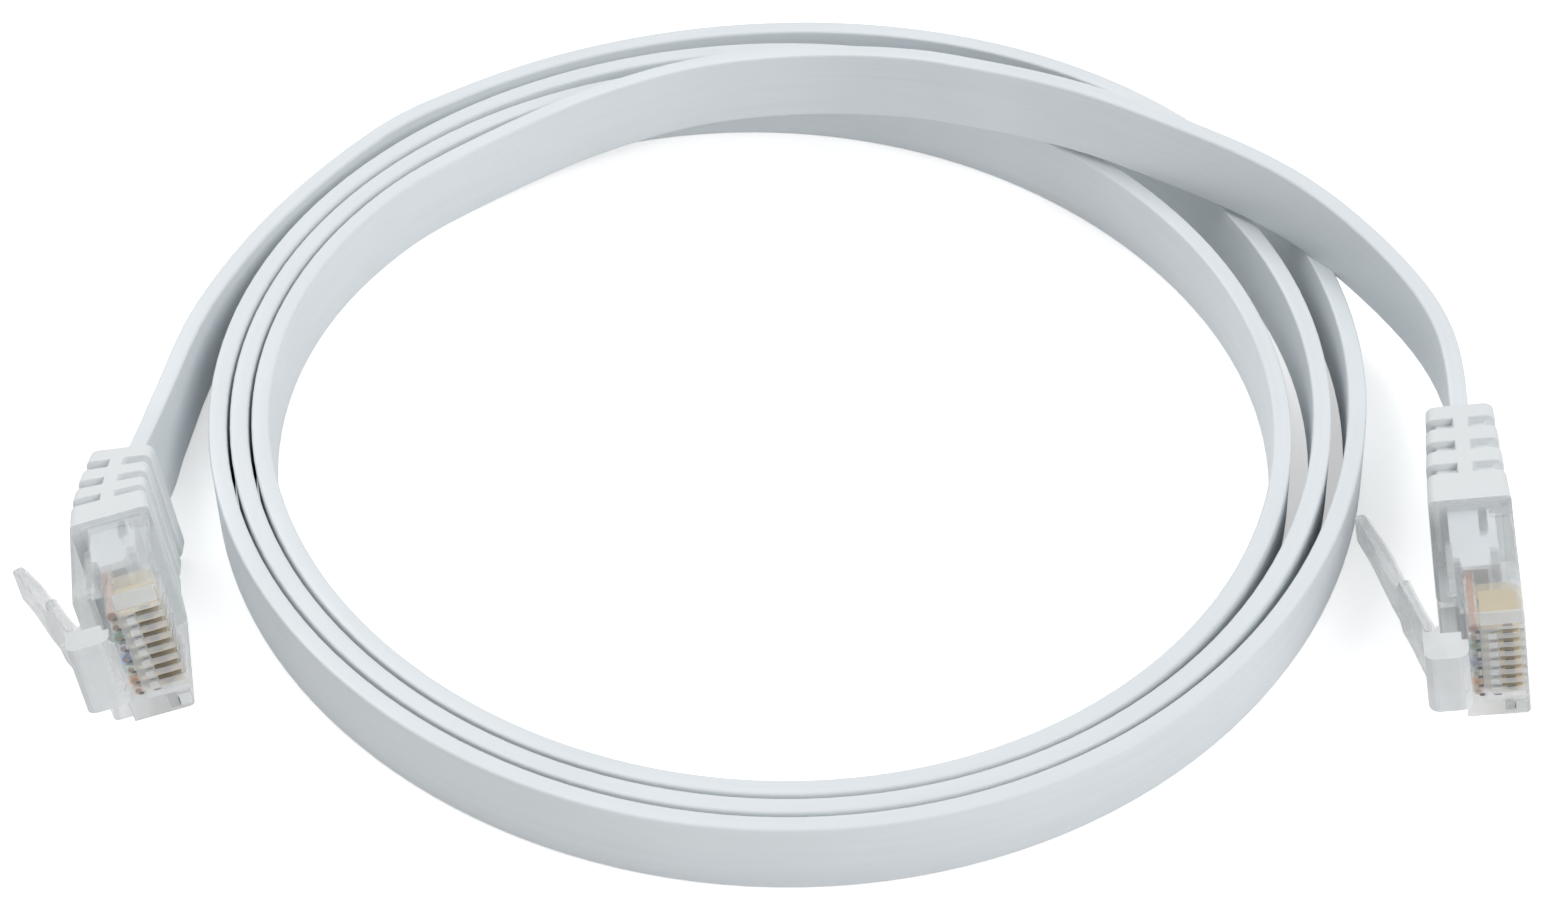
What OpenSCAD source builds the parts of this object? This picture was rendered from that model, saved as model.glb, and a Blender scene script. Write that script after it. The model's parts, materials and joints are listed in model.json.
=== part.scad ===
// Flat ethernet patch cable, coiled on its narrow edge, with a modular plug on each end.
// World frame: +Z up, z = 0 is the surface it lies on, origin midway between the two plugs.
// Plug frame: nose at y = 0 and facing -Y, contact side +X, latch side -X, pins stacked along Z.

/* [Jacket] */
// Width of the flat jacket, which stands on edge
jacket_w = 7; // [6.6:0.1:7.4]
// Thickness of the flat jacket
jacket_t = 1.4; // [1.2:0.1:1.6]
// How far the jacket reaches into the plug, measured from the nose
jacket_end_y = 11; // [10:0.5:12]

/* [Coil] */
// Radius of the coil's first turn
coil_r = 49.9; // [46:0.1:54]
// Radial step from one turn to the next
coil_pitch = 1.85; // [1.8:0.05:2.2]
// Whole turns in the coil
coil_turns = 3; // [2:1:3]
// Extra radius where the first turn leaves the coil
flare_r = 1.1; // [0:0.1:2]
// Angle over which the flare dies away
flare_angle = 30; // [15:5:60]
// Inward dent of the inner turns
dent_r = 1.75; // [0:0.05:2]
// Direction of the dent, from +X
dent_at = 42; // [0:1:90]
// Half width of the dent, as an angle
dent_angle = 55; // [40:1:80]
// How much wider than deep the turns are, as a radius
oval_r = 0.35; // [0:0.05:0.6]
// Height of the three-lobed waviness of the turns
wave_r = 0.55; // [0:0.05:0.8]
// Direction of the waviness, as a phase
wave_at = 118; // [0:1:360]

/* [Plug body] */
// Width of the plug, along the row of pins
plug_w = 11.68; // [11.5:0.01:11.8]
// Thickness of the plug, without its latch
plug_t = 6.7; // [6.5:0.1:6.8]
// Length of the clear body, from the nose to the boot
body_l = 13.3; // [12.8:0.1:14]
// Corner radius of the clear body
body_r = 0.4; // [0.2:0.1:0.6]
// Length of the neck that the boot grips
neck_l = 3.2; // [2.5:0.1:3.4]
// Width of the neck
neck_w = 10.2; // [10:0.1:10.4]
// Thickness of the neck
neck_t = 5; // [4.8:0.1:5.2]
// Thickness of the wall that closes the wire channels at the nose
nose_wall = 0.6; // [0.4:0.1:0.8]
// Distance of the wires' row from the plug's centre plane
cable_x = -0.7; // [-0.8:0.05:-0.6]
// Distance of the jacket's centre from the plug's centre plane where it leaves the boot
exit_x = -0.1; // [-0.3:0.05:0]
// How far the latch side of the nose is set back
nose_step = 0.9; // [0:0.1:1.2]

/* [Contacts and wires] */
// Number of contacts
pins = 8; // [8]
// Spacing of the contacts
pin_pitch = 1.016; // [1:0.001:1.03]
// Thickness of a contact blade
blade_t = 0.35; // [0.3:0.01:0.38]
// Length of a contact blade along the plug
blade_l = 3.9; // [3.5:0.1:4.1]
// Depth of the blades' edge below the contact face
blade_recess = 0.4; // [0.3:0.05:0.6]
// Outer diameter of a wire's insulation
wire_d = 0.8; // [0.7:0.01:0.82]
// Diameter of a wire's copper core
core_d = 0.5; // [0.4:0.01:0.55]
// Spacing of the wires where they leave the jacket
wire_pitch = 0.84; // [0.83:0.01:0.86]

/* [Inner mould] */
// Width of the inner mould
mould_w = 9.2; // [8.8:0.1:9.4]
// Thickness of the inner mould
mould_t = 3.8; // [3.7:0.1:4]
// Distance of the inner mould from the nose
mould_y = 6.2; // [6.1:0.1:7]
// Width of the slot in the inner mould's narrow sides
pill_w = 0.7; // [0.5:0.1:0.8]
// Length of that slot
pill_l = 3; // [2.5:0.1:3.2]

/* [Latch] */
// Width of the latch from its hinge to its shoulders
latch_w = 6; // [5.6:0.1:6.2]
// Width of the latch's thumb end
tip_w = 3.25; // [3:0.05:3.5]
// Length of the latch from its hinge to its tip
latch_l = 16.3; // [15:0.1:17]
// Distance from the hinge to the latch's shoulders
shoulder_l = 5.8; // [5:0.1:6.5]
// Thickness of the latch
latch_t = 1.1; // [0.9:0.05:1.2]
// Angle between the latch at rest and the plug's face
latch_rest = 18; // [14:1:20]
// Length of the latch block ahead of the nose
block_ahead = 2; // [1.5:0.1:2.5]

/* [Boot] */
// Width of the boot at its collar
boot_w = 11.7; // [11.5:0.1:12]
// Thickness of the boot at its collar
boot_t = 6.8; // [6.8:0.1:7]
// Length of the boot's plain collar
collar_l = 3.4; // [3.4:0.1:3.8]
// Width of each groove
groove_l = 1.15; // [0.8:0.05:1.3]
// Length of each rib
rib_l = 1.75; // [1.3:0.05:2]
// Depth of the grooves
groove_d = 0.7; // [0.5:0.1:0.8]
// Number of grooves
grooves = 3; // [2:1:3]
// How much narrower each rib is than the one before
rib_step_w = 0.25; // [0:0.05:0.4]
// How much thinner each rib is than the one before
rib_step_t = 0.3; // [0:0.05:0.4]
// Width of the spine that bridges the grooves on the narrow sides
spine_w = 1.2; // [0.8:0.1:1.6]

/* [Hidden] */

$fn = 48;

// Clearances
fit_gap = 0.05;      // between pieces that sit in one another
hinge_gap = 0.06;    // between the latch's knuckle and its groove
slot_gap = 0.12;     // between the jacket and the slot it passes through
eps = 0.01;          // overshoot of cuts

// Where the plugs lie: the centre of each nose, and the turns about X, Y and Z
a_at = [-50.4, -10.8, 12.5];
a_turn = [-17.1, -8, 11.3];
b_at = [57.3, -12.5, 7.2];
b_turn = [-2.8, -8.1, -4.1];
// Turns of each boot's rear end against its plug
a_flex = [4.6, 2.5, -14];
b_flex = [0, 0, 0];

// The coil
coil_at = [2.2, 22.7];
start_angle = 135;   // direction of the coil's first and last ring
loop_rings = 24;     // rings in one turn
dent_power = 1.5;    // how fast the dent grows from turn to turn
wave_lobes = 3;

// Routes of the two leads, as centre points; the parts inside the plugs are added to them
route_a = [[-52, 20.2, 4.2], [-51.2, 25.2, 3.8], [-48.6, 36.2, 3.6], [-42.6, 48.2, 3.55]];
route_b = [
    [-19.1, 59.6, 4.3], [-12.1, 62.1, 5.3], [-5, 63.3, 6.4], [2.2, 63, 7.5], [9, 61.5, 8.7], [15.4, 59, 10],
    [20.6, 56.3, 10.9], [25.8, 54.2, 11], [31.1, 51.6, 11], [37.5, 47.4, 11], [44.3, 42.3, 11], [49.3, 37.6, 10.6],
    [54.1, 31.9, 9.4], [57.7, 25.9, 8.2], [59.3, 20.2, 7]
];
route_steps = 2;     // rings from one route point to the next
join_l = 2;          // straight end of each lead where it meets the coil
lean_rings = 8;      // rings over which a lead turns upright

// Worked-out sizes
collar_y = body_l + collar_l;
segment_l = groove_l + rib_l;
neck_end_y = body_l + neck_l;
hinge_x = -plug_t / 2 - hinge_gap - latch_t / 2 - 0.25;
hinge_y = 1.8;
pocket_x = cable_x + 0.7;
step_x = cable_x - 1;
pin_z = [for (i = [1:pins]) (i - (pins + 1) / 2) * pin_pitch];
wire_z = [for (i = [1:pins]) (i - (pins + 1) / 2) * wire_pitch];
blade_y = nose_wall + 2 * fit_gap;
blade_top = plug_t / 2 - blade_recess;
blade_foot = cable_x + wire_d / 2 + 0.2;
blade_tooth = cable_x + core_d / 2;
tooth_l = 0.6;
fan_y = [5.6, 9.8];  // where the wires begin and end to spread

// Colours: clear plastic, jacket, gold, copper and the wires from pin 1 to pin 8
clear_c = [0.85, 0.88, 0.9, 0.6];
white_c = [0.93, 0.94, 0.95];
jacket_c = [0.86, 0.89, 0.92];
gold_c = [0.83, 0.68, 0.3];
copper_c = [0.72, 0.45, 0.2];
wire_c = ["moccasin", "darkorange", "honeydew", "royalblue", "lightsteelblue", "seagreen", "tan", "saddlebrown"];

// --- vectors, sections and sweeps ---

function unit(v) = v / norm(v);
function mix(a, b, s) = a * (1 - s) + b * s;
function last(v) = v[len(v) - 1];
function turned(v, t) =
    let (x = [v.x, v.y * cos(t.x) - v.z * sin(t.x), v.y * sin(t.x) + v.z * cos(t.x)])
    let (y = [x.x * cos(t.y) + x.z * sin(t.y), x.y, -x.x * sin(t.y) + x.z * cos(t.y)])
    [y.x * cos(t.z) - y.y * sin(t.z), y.x * sin(t.z) + y.y * cos(t.z), y.z];

// Flat section with bulged sides: 6 corners for the coil, 8 for the leads
function strip_section(sides) =
    let (h = jacket_w / 2, t = jacket_t / 2)
    let (bulge = sides == 6 ? [0] : [-h * 0.85, h * 0.85])
    let (side = [for (w = bulge) [t, w]])
    concat([[t * 0.9, -h]], side, [[t * 0.9, h], [-t * 0.9, h]], [for (w = bulge) [-t, -w]], [[-t * 0.9, -h]]);
function round_section(d, sides) =
    [for (i = [0:sides - 1]) [cos((i + 0.5) * 360 / sides), sin((i + 0.5) * 360 / sides)] * d / 2 / cos(180 / sides)];

// Ring of points at p, square to dir, with the section's second axis towards up
function ring(p, dir, up, section) =
    let (across = unit(cross(dir, up)), along = cross(across, dir))
    [for (s = section) p + s[0] * across + s[1] * along];

// Sweep of a section along points; dirs and ups hold a direction for each point
module sweep(points, dirs, ups, section) {
    n = len(points);
    m = len(section);
    rings = [for (i = [0:n - 1]) each ring(points[i], unit(dirs[i]), ups[i], section)];
    sides = [for (i = [0:n - 2], j = [0:m - 1])
        let (a = i * m + j, b = i * m + (j + 1) % m)
        each [[a, b, a + m], [b, b + m, a + m]]];
    caps = [for (j = [1:m - 2]) each [[0, j + 1, j], [(n - 1) * m, (n - 1) * m + j, (n - 1) * m + j + 1]]];
    polyhedron(points = rings, faces = concat(sides, caps), convexity = 10);
}

// Directions along a chain of points: along the chords at both ends, and the mean of two chords between
function chain_dirs(p) = [for (i = [0:len(p) - 1])
    i == 0 ? p[1] - p[0] : i == len(p) - 1 ? p[i] - p[i - 1] : unit(p[i + 1] - p[i]) + unit(p[i] - p[i - 1])];

// Smooth curve through points, with route_steps pieces between each two of them
function curve_at(p, i, s) =
    let (a = p[i - 1], b = p[i], c = p[i + 1], d = p[i + 2])
    0.5 * (2 * b + (c - a) * s + (2 * a - 5 * b + 4 * c - d) * s * s + (3 * b - a - 3 * c + d) * s * s * s);
function curve(p) = concat(
    [for (i = [1:len(p) - 3], k = [0:route_steps - 1]) curve_at(p, i, k / route_steps)], [p[len(p) - 2]]);

// --- the cord ---

function off_angle(a) = ((a % 360) + 540) % 360 - 180;
function turn_r(a) =
    let (phi = start_angle - a, turns = a / 360, off = off_angle(phi - dent_at) / dent_angle)
    coil_r - coil_pitch * turns + flare_r * exp(-a / flare_angle)
    - dent_r * pow(turns, dent_power) * exp(-off * off) + oval_r * cos(2 * phi) + wave_r * cos(wave_lobes * phi - wave_at);
function turn_point(a) =
    [coil_at.x + turn_r(a) * cos(start_angle - a), coil_at.y + turn_r(a) * sin(start_angle - a), jacket_w / 2];
coil_points = [for (i = [0:coil_turns * loop_rings]) turn_point(i * 360 / loop_rings)];
coil_first_dir = coil_points[1] - coil_points[0];
coil_last_dir = last(coil_points) - coil_points[len(coil_points) - 2];

// Least distance between neighbouring turns: from each ring to the straight piece of jacket outside it
function off_line(p, a, b) = norm(cross(unit(b - a), p - a));
turn_gaps = [for (i = [loop_rings:coil_turns * loop_rings], k = [-1, 0]) if (i - loop_rings + k >= 0)
    off_line(coil_points[i], coil_points[i - loop_rings + k], coil_points[i - loop_rings + k + 1]) - jacket_t];
echo(least_gap_between_turns = min(turn_gaps));

// A boot bends at the start of each groove
function segment_turn(i, flex) = flex * (i + 1) / grooves;
function segment_start(i, flex) = i == 0 ? [0, collar_y, 0]
    : segment_start(i - 1, flex) + turned([0, segment_l, 0], segment_turn(i - 1, flex));

// The jacket inside a plug, in the plug frame: its end, each bend of the boot, the way out and just past it
function segment_point(i, y, flex) = segment_start(i, flex) + turned([exit_x, y, 0], segment_turn(i, flex));
function inside_points(flex) = concat(
    [[cable_x, jacket_end_y, 0], [cable_x, body_l, 0], mix([exit_x, collar_y, 0], segment_point(0, 0, flex), 0.5)],
    [for (i = [1:grooves - 1]) mix(segment_point(i - 1, segment_l, flex), segment_point(i, 0, flex), 0.5)],
    [segment_point(grooves - 1, segment_l, flex), segment_point(grooves - 1, segment_l + 1, flex)]);
function inside_ups(flex) = concat([[0, 0, 1], [0, 0, 1]],
    [for (i = [0:grooves - 1]) turned([0, 0, 1], flex * (i + 0.5) / grooves)],
    [for (k = [0:1]) turned([0, 0, 1], segment_turn(grooves - 1, flex))]);
function placed(points, at, turn) = [for (p = points) at + turned(p, turn)];

// Lead A runs from inside plug A to the coil; lead B from the coil to inside plug B
a_inside = placed(inside_points(a_flex), a_at, a_turn);
b_inside = placed(inside_points(b_flex), b_at, b_turn);
a_ups = placed(inside_ups(a_flex), [0, 0, 0], a_turn);
b_ups = placed(inside_ups(b_flex), [0, 0, 0], b_turn);
inside_n = grooves + 3;
a_join = coil_points[0] - unit(coil_first_dir) * join_l;
b_join = last(coil_points) + unit(coil_last_dir) * join_l;
a_free = curve(concat([a_inside[inside_n - 1], last(a_inside)], route_a, [a_join, coil_points[0]]));
b_free = curve(concat([last(coil_points), b_join], route_b, [last(b_inside), b_inside[inside_n - 1]]));
lead_a_points = concat([for (i = [0:inside_n - 1]) a_inside[i]], a_free, [coil_points[0]]);
lead_b_points = concat([last(coil_points)], b_free, [for (i = [inside_n - 1:-1:0]) b_inside[i]]);

// The jacket's width turns from the plug's lean to upright over the first rings past the boot
function lead_ups(n, ups) = [for (i = [0:n - 1]) i < len(ups) ? ups[i]
    : unit(mix(last(ups), [0, 0, 1], min(1, (i + 1 - len(ups)) / lean_rings)))];
function backwards(v) = [for (i = [len(v) - 1:-1:0]) v[i]];

module lead_a() color(jacket_c) sweep(lead_a_points, chain_dirs(lead_a_points),
    lead_ups(len(lead_a_points), a_ups), strip_section(8));

module coil() color(jacket_c) sweep(coil_points, chain_dirs(coil_points),
    [for (p = coil_points) [0, 0, 1]], strip_section(6));

module lead_b() color(jacket_c) sweep(lead_b_points, chain_dirs(lead_b_points),
    backwards(lead_ups(len(lead_b_points), b_ups)), strip_section(8));

// --- pieces of a plug, in the plug frame ---

function arc(c, r, a0, a1, n) = [for (i = [0:n]) c + r * [cos(a0 + (a1 - a0) * i / n), sin(a0 + (a1 - a0) * i / n)]];
function round_box(w, h, r) = concat(
    arc([w / 2 - r, h / 2 - r], r, 0, 90, 4), arc([-w / 2 + r, h / 2 - r], r, 90, 180, 4),
    arc([-w / 2 + r, -h / 2 + r], r, 180, 270, 4), arc([w / 2 - r, -h / 2 + r], r, 270, 360, 4));

// Box by its x, y and z limits
module span(x, y, z) translate([x[0], y[0], z[0]]) cube([x[1] - x[0], y[1] - y[0], z[1] - z[0]]);

// Prism along the plug from y0 to y1, with a section drawn in x and z
module along_plug(y0, y1, points) translate([0, y1, 0]) rotate([90, 0, 0]) linear_extrude(y1 - y0) polygon(points);

// Prism across the plug, with an outline drawn in x and y
module across_plug(w, points) translate([0, 0, -w / 2]) linear_extrude(w) polygon(points);

module latch_block() {
    top = hinge_x - latch_t / 2;
    r = 0.9;
    side = eps - plug_t / 2;
    across_plug(latch_w, concat(
        [[-1.2, eps], [step_x + eps, eps], [step_x + eps, nose_step + eps], [side, nose_step + eps], [side, hinge_y],
            [top, hinge_y]],
        arc([top + r, -block_ahead + r], r, 180, 270, 4), arc([-1.2 - r, -block_ahead + r], r, 270, 360, 4)));
}

module housing() color(clear_c) difference() {
    union() {
        difference() {
            along_plug(0, body_l, round_box(plug_t, plug_w, body_r));
            span([-plug_t, step_x], [-eps, nose_step], [-plug_w, plug_w]);
        }
        along_plug(body_l - eps, neck_end_y, round_box(neck_t, neck_w, body_r));
        latch_block();
    }
    // Pocket for the inner mould
    span([pocket_x - mould_t / 2 - fit_gap, pocket_x + mould_t / 2 + fit_gap], [mould_y - fit_gap, neck_end_y + eps],
        [-mould_w / 2 - fit_gap, mould_w / 2 + fit_gap]);
    // Wire channels and contact slots
    for (z = pin_z) {
        translate([cable_x, nose_wall, z]) rotate([-90, 0, 0])
            cylinder(d = wire_d + 4 * fit_gap, h = mould_y - nose_wall, $fn = 12);
        slot = [z - blade_t / 2 - fit_gap, z + blade_t / 2 + fit_gap];
        span([cable_x, plug_t / 2 + eps], [nose_wall, blade_y + blade_l + fit_gap], slot);
        span([1.2, plug_t / 2 + eps], [-eps, blade_y], slot);
        span([blade_top - 0.6, plug_t / 2 + eps], [blade_y, mould_y - 0.5], slot);
    }
    // Groove that the latch turns in
    translate([hinge_x, hinge_y, -latch_w / 2 - fit_gap])
        cylinder(r = latch_t / 2 + hinge_gap, h = latch_w + 2 * fit_gap);
}

module latch() color(clear_c) translate([hinge_x, hinge_y, 0]) rotate([0, 0, latch_rest]) {
    translate([0, 0, -latch_w / 2]) cylinder(d = latch_t, h = latch_w);
    h = latch_w / 2;
    t = tip_w / 2;
    r = 0.7;
    translate([latch_t / 2, 0, 0]) rotate([0, -90, 0]) linear_extrude(latch_t) polygon(concat(
        [[-h, 0], [h, 0], [h, shoulder_l], [t + 0.3, shoulder_l + 0.3], [t, shoulder_l + 0.8]],
        arc([t - r, latch_l - r], r, 0, 90, 4), arc([r - t, latch_l - r], r, 90, 180, 4),
        [[-t, shoulder_l + 0.8], [-t - 0.3, shoulder_l + 0.3], [-h, shoulder_l]]));
}

module boot(flex) color(white_c) difference() {
    union() {
        intersection() {
            along_plug(body_l, collar_y, round_box(boot_t, boot_w, 0.7));
            across_plug(boot_w, [[-boot_t / 2, body_l], [boot_t / 2, body_l], [rib_x(0)[1] + 0.05, collar_y],
                [-boot_t / 2 + 0.05, collar_y]]);
        }
        for (i = [0:grooves - 1]) in_segment(i, flex) {
            x = rib_x(i);
            z = rib_w(i) / 2;
            span([x[0] + groove_d, x[1] - groove_d], [-groove_d / 2, groove_l + eps], [groove_d - z, z - groove_d]);
            span(mid(x) + [-spine_w / 2, spine_w / 2], [-groove_d / 2, groove_l + eps], [eps - z, z - eps]);
            translate([mid(x)[0], 0, 0]) along_plug(groove_l, segment_l, round_box(x[1] - x[0], 2 * z, 0.6));
        }
    }
    span([-neck_t / 2 - fit_gap, neck_t / 2 + fit_gap], [body_l - eps, neck_end_y + fit_gap],
        [-neck_w / 2 - fit_gap, neck_w / 2 + fit_gap]);
    jacket_slot([jacket_way(neck_end_y), jacket_way(collar_y), [exit_x, collar_y + groove_l / 2]]);
    for (i = [0:grooves - 1]) in_segment(i, flex)
        jacket_slot([[exit_x, -groove_d], [exit_x, segment_l + (i == grooves - 1 ? eps : 0)]]);
}
module in_segment(i, flex) translate(segment_start(i, flex)) rotate(segment_turn(i, flex)) children();
function rib_t(i) = boot_t - 0.45 - rib_step_t * i;
function rib_w(i) = boot_w - rib_step_w * (i + 1);
function rib_x(i) = [-0.1 - rib_t(i) / 2, -0.1 + rib_t(i) / 2];
function mid(r) = [r[0] + r[1], r[0] + r[1]] / 2;

// Slot that the jacket passes through, along a line of points in x and y
module jacket_slot(line) across_plug(jacket_w + 2 * slot_gap, concat(
    [for (p = line) p - [jacket_t / 2 + slot_gap, 0]], [for (p = backwards(line)) p + [jacket_t / 2 + slot_gap, 0]]));

// The jacket's centre at y inside the collar, as it shifts from the wires' row to the boot's middle
function jacket_way(y) = [mix(cable_x, exit_x, (y - body_l) / collar_l), y];

module inner_mould() color(white_c) difference() {
    low = pocket_x - mould_t / 2;
    high = pocket_x + mould_t / 2;
    across_plug(mould_w, [[low, mould_y + 1.1], [low + 0.6, mould_y + 1.1], [low + 0.8, mould_y], [high - 1, mould_y],
        [high - 0.7, mould_y + 0.8], [high - 0.7, mould_y + 2], [high, mould_y + 2], [high, neck_end_y],
        [low, neck_end_y]]);
    // Slot for the row of wires, then for the jacket
    row = (pins - 1) * pin_pitch / 2 + wire_d / 2 + fit_gap;
    span([cable_x - wire_d / 2 - fit_gap, cable_x + wire_d / 2 + fit_gap], [mould_y - eps, jacket_end_y + eps],
        [-row, row]);
    jacket_slot([[cable_x, jacket_end_y], [cable_x, body_l], jacket_way(neck_end_y + eps)]);
    // Pill-shaped slots in both narrow sides
    for (side = [-1, 1]) translate([0.9, 0, side * mould_w / 2]) {
        for (y = [body_l - 0.6 - pill_l + pill_w, body_l - 0.6]) translate([0, y, 0])
            cylinder(d = pill_w, h = 1.6, center = true);
        span([-pill_w / 2, pill_w / 2], [body_l - 0.6 - pill_l + pill_w, body_l - 0.6], [-0.8, 0.8]);
    }
}

// A contact: a blade with two teeth that reach the copper core
module contact(i) color(gold_c) translate([0, blade_y, pin_z[i]]) across_plug(blade_t, [
    [blade_foot, 0], [blade_top - 0.4, 0], [blade_top - 0.1, 0.1], [blade_top, 0.4], [blade_top, blade_l - 0.5],
    [blade_top - 0.5, blade_l], [blade_foot, blade_l], [blade_foot, 3.2 + tooth_l], [blade_tooth, 2.9 + tooth_l],
    [blade_tooth, 3.2], [blade_foot, 2.9], [blade_foot, 1 + tooth_l], [blade_tooth, 0.7 + tooth_l],
    [blade_tooth, 1], [blade_foot, 0.7]]);

// Centre line of a wire, from the nose to the end of the jacket
function wire_line(i) = [[cable_x, blade_y, pin_z[i]], [cable_x, fan_y[0], pin_z[i]], [cable_x, fan_y[1], wire_z[i]],
    [cable_x, jacket_end_y, wire_z[i]]];

module wire_solid(i, d) {
    line = wire_line(i);
    sweep(line, [for (p = line) [0, 1, 0]], [for (p = line) [0, 0, 1]], round_section(d, 8));
}

module wire(i) color(wire_c[i]) difference() {
    wire_solid(i, wire_d);
    core_bore(i);
    // Cut that the contact's teeth make in the insulation
    span([cable_x + core_d / 2 - eps, cable_x + wire_d], [blade_y + 0.65, blade_y + 3.3 + tooth_l],
        [pin_z[i] - blade_t / 2 - eps, pin_z[i] + blade_t / 2 + eps]);
}

// Bore for the core, past both ends of the wire
module core_bore(i) {
    line = wire_line(i);
    longer = concat([line[0] - [0, 1, 0]], line, [last(line) + [0, 1, 0]]);
    sweep(longer, [for (p = longer) [0, 1, 0]], [for (p = longer) [0, 0, 1]], round_section(core_d, 8));
}

module wire_cores() color(copper_c) for (i = [0:pins - 1]) wire_solid(i, core_d);

// --- placing ---

module at_a() translate(a_at) rotate(a_turn) children();
module at_b() translate(b_at) rotate(b_turn) children();

lead_a();
coil();
lead_b();

at_a() housing();  // a_housing
at_a() latch();  // a_latch
at_a() boot(a_flex);  // a_boot
at_a() inner_mould();  // a_inner_mould
at_a() wire_cores();  // a_wire_cores
for (i = [1:pins]) {
    at_a() contact(i - 1);
    at_a() wire(i - 1);
}

at_b() housing();  // b_housing
at_b() latch();  // b_latch
at_b() boot(b_flex);  // b_boot
at_b() inner_mould();  // b_inner_mould
at_b() wire_cores();  // b_wire_cores
for (i = [1:pins]) {
    at_b() contact(i - 1);
    at_b() wire(i - 1);
}
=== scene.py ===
"""A coiled flat patch cable with a clear plug and a ribbed boot on each end, in a plain studio.

All sizes in the classes are in millimetres and degrees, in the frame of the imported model, and all meshes
are in metres. In a plug's own frame the nose is at y = 0 and faces -Y, the contact side is +X, and the pins
are stacked along Z. A bump is a pair of its strength and its depth.
"""
import json
import logging
import math
from dataclasses import dataclass, field
from enum import Enum

import bmesh
import bpy
from mathutils import Matrix, Vector


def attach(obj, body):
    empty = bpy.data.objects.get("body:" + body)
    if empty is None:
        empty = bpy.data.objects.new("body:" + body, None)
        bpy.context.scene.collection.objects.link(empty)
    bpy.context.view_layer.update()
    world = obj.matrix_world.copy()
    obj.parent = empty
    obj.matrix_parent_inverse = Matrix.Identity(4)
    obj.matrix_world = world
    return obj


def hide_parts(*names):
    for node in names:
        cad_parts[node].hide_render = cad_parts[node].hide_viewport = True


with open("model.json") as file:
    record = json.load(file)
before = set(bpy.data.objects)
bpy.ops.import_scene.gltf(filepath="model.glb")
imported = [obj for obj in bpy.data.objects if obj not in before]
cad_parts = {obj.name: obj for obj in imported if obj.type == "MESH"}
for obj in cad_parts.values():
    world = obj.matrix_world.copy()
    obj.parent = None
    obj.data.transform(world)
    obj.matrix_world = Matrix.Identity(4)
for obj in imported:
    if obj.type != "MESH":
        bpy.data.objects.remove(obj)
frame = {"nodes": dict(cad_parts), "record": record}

logging.basicConfig(level=logging.INFO, format="%(message)s")
log = logging.getLogger("patch_cable")

MM = 0.001  # metres in a millimetre
TOUCH = 0.01  # how near a face's middle is to a limit that it may lie on
FACING = 0.9  # how much of a face's normal lies along the axis that it faces
CORNER_PARTS = 6  # steps round an outline's corner
SIDE_PARTS = 8  # steps along an outline's wide side
NOISE_SPAN = (0.3, 0.7)  # where nearly all of a noise lies
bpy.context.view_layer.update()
Pair = tuple[float, float]
Triple = tuple[float, float, float]
Table = tuple[Pair, ...]
Socket = bpy.types.NodeSocket


# --- small helpers ---

def rotation(turn: Triple) -> Matrix:
    """The rotation about X, then Y, then Z, by three angles in degrees."""
    x, y, z = (math.radians(a) for a in turn)
    return Matrix.Rotation(z, 4, "Z") @ Matrix.Rotation(y, 4, "Y") @ Matrix.Rotation(x, 4, "X")


def smooth_step(s: float) -> float:
    """Eases a number from 0 to 1, held at both ends."""
    s = min(1.0, max(0.0, s))
    return s * s * (3 - 2 * s)


def blend_at(x: float, table: Table) -> float:
    """Reads a table of points with eased steps between them.

    Args:
        x: where to read.
        table: pairs of x and value, in rising x.

    Returns:
        The value at x, held at both ends.
    """
    if x <= table[0][0]:
        return table[0][1]
    for (x0, v0), (x1, v1) in zip(table, table[1:]):
        if x <= x1:
            return v0 + (v1 - v0) * smooth_step((x - x0) / (x1 - x0))
    return table[-1][1]


def glide_at(x: float, table: Table) -> float:
    """Reads a table of points on a smooth curve through them.

    Args:
        x: where to read.
        table: pairs of x and value, in rising x.

    Returns:
        The value at x, held at both ends.
    """
    if not table[0][0] < x < table[-1][0]:
        return table[0][1] if x <= table[0][0] else table[-1][1]
    i = next(i for i in range(len(table) - 1) if x <= table[i + 1][0])
    (x0, v0), (x1, v1) = table[i], table[i + 1]
    xa, va = table[max(i - 1, 0)]
    xb, vb = table[min(i + 2, len(table) - 1)]
    span = x1 - x0
    m0, m1 = (v1 - va) / (x1 - xa) * span, (vb - v0) / (xb - x0) * span
    s = (x - x0) / span
    return (v0 * (1 + 2 * s) + m0 * s) * (1 - s) ** 2 + (v1 * (3 - 2 * s) - m1 * (1 - s)) * s * s


def link(name: str, data: bpy.types.ID) -> bpy.types.Object:
    """Puts a mesh, a camera or a light into the scene as an object at the origin.

    Args:
        name: the object's name.
        data: what it shows; a mesh is already in place.

    Returns:
        The new object.
    """
    piece = bpy.data.objects.new(name, data)
    bpy.context.scene.collection.objects.link(piece)
    return piece


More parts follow.
